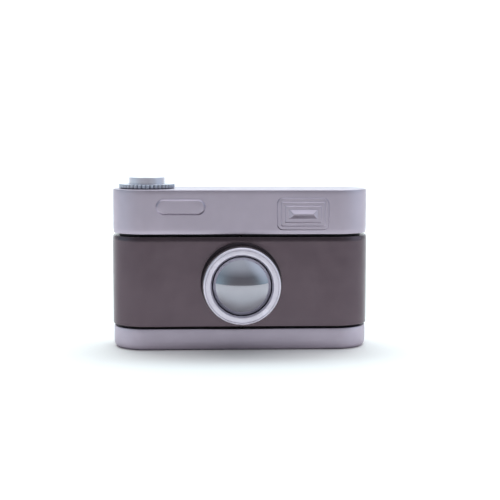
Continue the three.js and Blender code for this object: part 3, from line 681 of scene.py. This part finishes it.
def add_top_cover():
    cover = Extent("top_cover")
    levels = block_levels(cover.low.z, cover.high.z, TOP_LOWER_ROUND, TOP_UPPER_ROUND,
                          TOP_FOOT_EASE, TOP_HEAD_EASE)
    piece = slab("top_cover_shell", cover.half.x, cover.high.y, COVER_CORNER, levels, Matrix())
    pill_section = [
        (0, -RELIEF_ROOT),
        (0, PILL_SILL),
        (PILL_SLOPE, PILL_RAISE),
        (PILL_HEIGHT / 2, PILL_RAISE),
    ]
    pill_levels = softened(pill_section, RELIEF_EDGE_ROUND, closed=False)
    pill = slab("pill", PILL_LENGTH / 2, PILL_HEIGHT / 2, PILL_HEIGHT / 2, pill_levels,
                raised(PILL_X, cover.high.z - PILL_DROP))
    flash = slab("flash", FLASH_WIDTH / 2, FLASH_HEIGHT / 2, FLASH_CORNER, flash_levels(),
                 raised(FLASH_X, cover.high.z - FLASH_DROP))
    combine(piece, pill, "UNION")
    combine(piece, flash, "UNION")
    bush, cap = Extent("dial_bush"), Extent("mechanism_cap")
    x, y = bush.middle.x, bush.middle.y
    under, over = cover.low.z - BEYOND, cover.high.z + BEYOND
    sleeve = DIAL_STEM + BUSH_BORE_GAP + BUSH_WALL + PRESS_GAP
    flange_seat = bush.high.z - FLANGE_THICKNESS - SEAT_GAP
    combine(piece, plug(cap.half.x + PRESS_GAP, under, bush.low.z, x, y), "DIFFERENCE")
    combine(piece, plug(sleeve, cover.low.z, over, x, y), "DIFFERENCE")
    combine(piece, plug(bush.half.x + PRESS_GAP, flange_seat, over, x, y), "DIFFERENCE")
    for side in SIDES:
        post = Extent(f"guide_post_{side}")
        hole = plug(SPIGOT_RADIUS + PRESS_GAP, under, post.high.z + PRESS_GAP, post.middle.x, post.middle.y)
        combine(piece, hole, "DIFFERENCE")
    for side in MAGNET_PLACES:
        magnet = Extent(f"cover_magnet_{side}")
        pocket = plug(magnet.half.x + PRESS_GAP, under, magnet.high.z + PRESS_GAP,
                      magnet.middle.x, magnet.middle.y)
        combine(piece, pocket, "DIFFERENCE")
    dress(piece, materials["blasted_steel"], "top_cover")


def screw_section(screw, grow, low):
    """Half the outline of a countersunk screw, or of its hole when it is grown."""
    head_end = screw.low.z + SCREW_HEAD_HEIGHT
    return [
        (0, low),
        (screw.half.x + grow, low),
        (screw.half.x + grow, screw.low.z),
        (SCREW_RADIUS + grow, head_end),
        (SCREW_RADIUS + grow, screw.high.z + grow),
        (0, screw.high.z + grow),
    ]


def add_bottom_cover():
    cover = Extent("bottom_cover")
    levels = block_levels(cover.low.z, cover.high.z, BASE_FILLET, BASE_RIM_ROUND,
                          BASE_FOOT_EASE, BASE_HEAD_EASE)
    piece = slab("bottom_cover_shell", cover.half.x, cover.half.y, COVER_CORNER, levels, Matrix())
    for side in SIDES:
        screw = Extent(f"base_screw_{side}")
        centre = Vector((screw.middle.x, screw.middle.y, 0))
        section = screw_section(screw, PRESS_GAP, cover.low.z - BEYOND)
        combine(piece, turned("cutter", section, "Z", centre, closed=False), "DIFFERENCE")
    dress(piece, materials["blasted_steel"], "bottom_cover")


def add_base_screws():
    for side in SIDES:
        node = f"base_screw_{side}"
        screw = Extent(node)
        centre = Vector((screw.middle.x, screw.middle.y, 0))
        outline = screw_section(screw, 0, screw.low.z)
        outline.pop(2)
        section = softened(outline, SCREW_EDGE, closed=False)
        piece = turned(f"{node}_fine", section, "Z", centre, closed=False)
        socket = plug(SOCKET_RADIUS, screw.low.z - BEYOND, screw.low.z + SOCKET_DEPTH,
                      centre.x, centre.y, steps=HEX_SIDES)
        combine(piece, socket, "DIFFERENCE")
        dress(piece, turned_steel("screw_steel", centre, "Z", f"_{side}"), node)


def add_slide_body():
    body = Extent("slide_body")
    levels = block_levels(body.low.z, body.high.z, BODY_EDGE_ROUND, BODY_EDGE_ROUND, head_ease=BODY_HEAD_EASE)
    piece = slab("slide_body_shell", body.half.x, body.half.y, BODY_CORNER, levels, Matrix())
    under, over = body.low.z - BEYOND, body.high.z + BEYOND
    for side in SIDES:
        post = Extent(f"guide_post_{side}")
        half_width = post.half.y + POST_CLEARANCE
        place = Matrix.Translation((post.middle.x, post.middle.y, 0))
        slot = slab("cutter", SLIDE_TRAVEL + half_width, half_width, half_width,
                    [(0, under), (0, over)], place)
        combine(piece, slot, "DIFFERENCE")
    for side in MAGNET_PLACES:
        magnet = Extent(f"body_magnet_{side}")
        pocket = plug(magnet.half.x + PRESS_GAP, magnet.low.z - PRESS_GAP, over,
                      magnet.middle.x, magnet.middle.y)
        combine(piece, pocket, "DIFFERENCE")
    cup = Extent("ball_cup")
    bore = SHANK_RADIUS + PRESS_GAP
    section = [(0, body.low.y - BEYOND), (bore, body.low.y - BEYOND),
               (bore, cup.high.y + SEAT_GAP), (0, cup.high.y + SEAT_GAP)]
    combine(piece, turned("cutter", section, "Y", lens_centre(), closed=False), "DIFFERENCE")
    screw = Extent("barrel_set_screw")
    hole = plug(screw.half.x + PRESS_GAP, under, lens_centre().z, screw.middle.x, screw.middle.y)
    combine(piece, hole, "DIFFERENCE")
    dress(piece, materials["dark_coated_steel"], "slide_body")


def lens_centre():
    barrel = Extent("lens_barrel")
    return Vector((barrel.middle.x, 0, barrel.middle.z))


def add_lens_barrel():
    barrel, body = Extent("lens_barrel"), Extent("slide_body")
    foot = body.low.y - SEAT_GAP
    mouth = barrel.low.y + BARREL_MOUTH_DEPTH
    section = softened([
        (BARREL_BORE, barrel.high.y),
        (BARREL_BORE, mouth),
        (BARREL_MOUTH, mouth),
        (BARREL_MOUTH, barrel.low.y),
        (BARREL_RADIUS, barrel.low.y),
        (BARREL_RADIUS, body.low.y - BARREL_FOOT_HEIGHT),
        (barrel.half.x, foot),
        (SHANK_RADIUS, foot),
        (SHANK_RADIUS, barrel.high.y),
    ], LENS_EDGE, closed=True)
    piece = turned("lens_barrel_fine", section, "Y", lens_centre())
    cut_snap_groove(piece, BARREL_MOUTH - SNAP_WIRE_RADIUS)
    dress(piece, turned_steel("dark_turned_steel", lens_centre(), "Y"), "lens_barrel")


def add_lens_ring():
    ring = Extent("lens_ring")
    face = ring.low.y
    back = face + RING_THICKNESS
    line_outer = ring.half.x - RING_LINE_INSET
    line_inner = line_outer - RING_LINE_WIDTH
    section = softened([
        (RING_FACE_INNER, face),
        (line_inner, face),
        (line_inner, face + RING_LINE_DEPTH),
        (line_outer, face + RING_LINE_DEPTH),
        (line_outer, face),
        (ring.half.x - RING_EDGE, face),
        (ring.half.x, face + RING_EDGE),
        (ring.half.x, back),
        (RING_SPIGOT_OUTER, back),
        (RING_SPIGOT_OUTER, ring.high.y),
        (RING_SPIGOT_INNER, ring.high.y),
        (RING_SPIGOT_INNER, back),
        (RING_APERTURE, face + RING_BEVEL_DEPTH + RING_LIP),
        (RING_APERTURE, face + RING_BEVEL_DEPTH),
    ], LENS_EDGE, closed=True)
    piece = turned("lens_ring_fine", section, "Y", lens_centre())
    cut_snap_groove(piece, RING_SPIGOT_OUTER - SNAP_WIRE_RADIUS)
    dress(piece, turned_steel("bright_turned_steel", lens_centre(), "Y"), "lens_ring")


def add_ring_washer():
    washer = Extent("ring_washer")
    section = softened([
        (BARREL_MOUTH, washer.low.y),
        (washer.half.x, washer.low.y),
        (washer.half.x, washer.high.y),
        (BARREL_MOUTH, washer.high.y),
    ], LENS_EDGE, closed=True)
    piece = turned("ring_washer_fine", section, "Y", lens_centre())
    dress(piece, materials["slippery_plastic"], "ring_washer")


def add_lens_ball():
    ball = Extent("lens_ball")
    bm = bmesh.new()
    bmesh.ops.create_cube(bm, size=2)
    bmesh.ops.subdivide_edges(bm, edges=bm.edges, cuts=BALL_CUTS, use_grid_fill=True)
    for vertex in bm.verts:
        vertex.co = ball.middle + vertex.co.normalized() * ball.half.x
    dress(object_from("lens_ball_fine", bm), materials["mirror_steel"], "lens_ball")


def dial_centre():
    dial = Extent("shutter_dial")
    return Vector((dial.middle.x, dial.middle.y, 0))


def cut_detent_notches(obj, dial):
    """Cuts the notches under the stem that the click ball drops into."""
    ball = Extent("detent_ball")
    bm = bmesh.new()
    for index in range(DETENTS):
        turn = Matrix.Rotation(index / DETENTS * 2 * math.pi, 4, "Z")
        place = Matrix.Translation(dial_centre() + Vector((0, 0, dial.low.z)))
        out = Matrix.Translation((ball.middle.x - dial.middle.x, 0, 0))
        tilt = Matrix.Rotation(math.pi / 4, 4, "X")
        size = Matrix.Diagonal((2 * ball.half.x, DETENT_SIDE, DETENT_SIDE, 1))
        bmesh.ops.create_cube(bm, size=1, matrix=place @ turn @ out @ tilt @ size)
    combine(obj, object_from("cutter", bm), "DIFFERENCE")


def add_shutter_dial():
    dial = Extent("shutter_dial")
    under_rim = dial.high.z - DIAL_THICKNESS
    floor = dial.low.z + DIAL_FLOOR
    section = softened([
        (PLUNGER_HOLE, dial.low.z),
        (DIAL_STEM, dial.low.z),
        (DIAL_STEM, under_rim),
        (dial.half.x, under_rim),
        (dial.half.x, dial.high.z),
        (BUTTON_BORE, dial.high.z),
        (BUTTON_BORE, floor),
        (PLUNGER_HOLE, floor),
    ], DIAL_EDGE, closed=True)
    piece = turned("shutter_dial_fine", section, "Z", dial_centre(),
                   steps=DIAL_TEETH * TOOTH_STEPS, knurled=dial.half.x - TOOTH_DEPTH)
    circlip = Extent("dial_circlip")
    cut_groove(piece, DIAL_STEM - CIRCLIP_GROOVE, DIAL_STEM + BEYOND,
               circlip.low.z - SEAT_GAP, circlip.high.z + SEAT_GAP, "Z", dial_centre())
    cut_detent_notches(piece, dial)
    dress(piece, turned_steel("knurled_steel", dial_centre(), "Z"), "shutter_dial")


def add_shutter_button():
    button = Extent("shutter_button")
    foot = button.high.z - BUTTON_LENGTH
    section = softened([
        (0, button.low.z),
        (PLUNGER_RADIUS, button.low.z),
        (PLUNGER_RADIUS, foot),
        (button.half.x, foot),
        (button.half.x, button.high.z),
        (button.half.x / 2, button.high.z - BUTTON_DISH),
        (0, button.high.z - BUTTON_DISH),
    ], BUTTON_EDGE, closed=False)
    piece = turned("shutter_button_fine", section, "Z", dial_centre(), closed=False)
    clip = Extent("button_clip")
    cut_groove(piece, PLUNGER_RADIUS - PLUNGER_NECK, PLUNGER_RADIUS + BEYOND,
               clip.low.z - SEAT_GAP, clip.high.z + SEAT_GAP, "Z", dial_centre())
    dress(piece, turned_steel("button_steel", dial_centre(), "Z"), "shutter_button")


def dress_inner_nodes():
    """Finishes the CAD nodes that are kept as they are."""
    for name, node in frame["nodes"].items():
        if node.hide_render:
            continue
        node.data.materials.clear()
        node.data.materials.append(materials[slots[name]])
        node.data.shade_smooth()
        node.data.set_sharp_from_angle(angle=math.radians(SHARP_ANGLE))


# Stage

def add_floor():
    """A white sweep: a floor that curves up into a wall behind the toy."""
    profile = [(FLOOR_FRONT, 0)]
    for step in range(SWEEP_STEPS + 1):
        angle = step / SWEEP_STEPS * math.pi / 2
        profile.append((SWEEP_START + SWEEP_RADIUS * math.sin(angle),
                        SWEEP_RADIUS * (1 - math.cos(angle))))
    profile.append((SWEEP_START + SWEEP_RADIUS, WALL_TOP))
    bm = bmesh.new()
    sides = [[bm.verts.new((x, y, z)) for y, z in profile] for x in (-FLOOR_HALF_WIDTH, FLOOR_HALF_WIDTH)]
    for here in range(len(profile) - 1):
        bm.faces.new((sides[0][here], sides[1][here], sides[1][here + 1], sides[0][here + 1]))
    floor = object_from("studio_sweep", bm)
    floor.data.shade_smooth()
    floor.data.materials.append(materials["floor_white"])


def room_ramp(tree, source, stops):
    """A colour by height: pairs of the sine of the elevation and a colour."""
    ramp = tree.nodes.new("ShaderNodeValToRGB")
    elements = ramp.color_ramp.elements
    while len(elements) < len(stops):
        elements.new(0.5)
    for element, (height, colour) in zip(elements, stops):
        element.position = (height + 1) / 2
        element.color = (*colour, 1)
    tree.links.new(source, ramp.inputs["Fac"])
    return ramp.outputs["Color"]


def soft_step(tree, source, low, high):
    """A soft rise from nothing to all between two values."""
    step = tree.nodes.new("ShaderNodeMapRange")
    step.interpolation_type = "SMOOTHSTEP"
    step.inputs["From Min"].default_value = low
    step.inputs["From Max"].default_value = high
    tree.links.new(source, step.inputs["Value"])
    return step.outputs["Result"]


def room_mix(tree, share, first, second):
    """Two colours of the room mixed by a share; the second is linked, or a plain tone."""
    mix = tree.nodes.new("ShaderNodeMix")
    mix.data_type = "RGBA"
    tree.links.new(share, mix.inputs[0])
    tree.links.new(first, mix.inputs[MIX_FIRST])
    if isinstance(second, tuple):
        mix.inputs[MIX_SECOND].default_value = (*second, 1)
    else:
        tree.links.new(second, mix.inputs[MIX_SECOND])
    return mix.outputs[MIX_RESULT]


def light_room():
    """A soft room: dim at eye level in front, blue-white at the sides and paler above."""
    world = bpy.data.worlds.new("room")
    bpy.context.scene.world = world
    world.use_nodes = True
    tree = world.node_tree
    place = tree.nodes.new("ShaderNodeTexCoord")
    parts = tree.nodes.new("ShaderNodeSeparateXYZ")
    tree.links.new(place.outputs["Generated"], parts.inputs["Vector"])
    height = tree.nodes.new("ShaderNodeMapRange")
    height.inputs["From Min"].default_value = -1
    tree.links.new(parts.outputs["Z"], height.inputs["Value"])
    front = room_ramp(tree, height.outputs["Result"], ROOM_FRONT)
    around = room_ramp(tree, height.outputs["Result"], ROOM_AROUND)
    aside = soft_step(tree, parts.outputs["Y"], *ASIDE_RISE)
    window_dot = tree.nodes.new("ShaderNodeVectorMath")
    window_dot.operation = "DOT_PRODUCT"
    window_dot.inputs[1].default_value = Vector(WINDOW_DIRECTION).normalized()
    tree.links.new(place.outputs["Generated"], window_dot.inputs[0])
    window = soft_step(tree, window_dot.outputs["Value"], *WINDOW_RISE)
    room = room_mix(tree, aside, front, around)
    glow = room_mix(tree, window, room, WINDOW_TONE)
    tree.links.new(glow, tree.nodes["Background"].inputs["Color"])


def add_area_light(name, size, place, power, colour):
    """A soft rectangular light that faces down."""
    data = bpy.data.lights.new(name, "AREA")
    data.shape = "RECTANGLE"
    data.size, data.size_y = size
    data.energy = power
    data.color = colour
    light = bpy.data.objects.new(name, data)
    light.location = place
    bpy.context.scene.collection.objects.link(light)
    return light


def add_lights():
    """A wide light above and behind, and one that washes the wall and isn't mirrored in the metal."""
    add_area_light("overhead_light", OVERHEAD_SIZE, OVERHEAD_PLACE, OVERHEAD_POWER, OVERHEAD_COLOUR)
    backdrop = add_area_light("backdrop_light", BACKDROP_LIGHT_SIZE, BACKDROP_LIGHT_PLACE,
                              BACKDROP_LIGHT_POWER, BACKDROP_LIGHT_COLOUR)
    toward = Vector(BACKDROP_LIGHT_AIM) - Vector(BACKDROP_LIGHT_PLACE)
    backdrop.rotation_euler = toward.to_track_quat("-Z", "Y").to_euler()
    backdrop.visible_glossy = False


def add_camera():
    data = bpy.data.cameras.new("photo_camera")
    data.lens = CAMERA_LENS
    data.sensor_width = SENSOR_WIDTH
    data.clip_start = CAMERA_CLIP
    camera = bpy.data.objects.new("photo_camera", data)
    turn = Matrix.Rotation(math.radians(CAMERA_YAW), 4, "Z")
    tilt = Matrix.Rotation(math.radians(90 - CAMERA_PITCH), 4, "X")
    roll = Matrix.Rotation(math.radians(CAMERA_ROLL), 4, "Z")
    camera.matrix_world = Matrix.Translation(CAMERA_EYE) @ turn @ tilt @ roll
    bpy.context.scene.collection.objects.link(camera)
    bpy.context.scene.camera = camera


slots = {part["node"]: part["material_slot"] for part in frame["record"]["subparts"]}
body_names = {node: body for body, nodes in frame["record"]["behaviour"]["bodies"].items() for node in nodes}
materials = {name: grained(name) for name in FINISHES}

bpy.context.scene.view_settings.view_transform = "Standard"
add_camera()
light_room()
add_lights()
add_floor()
add_top_cover()
add_bottom_cover()
add_base_screws()
add_slide_body()
add_lens_barrel()
add_lens_ring()
add_ring_washer()
add_lens_ball()
add_shutter_dial()
add_shutter_button()
dress_inner_nodes()

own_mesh(frame["nodes"]["button_spring"])
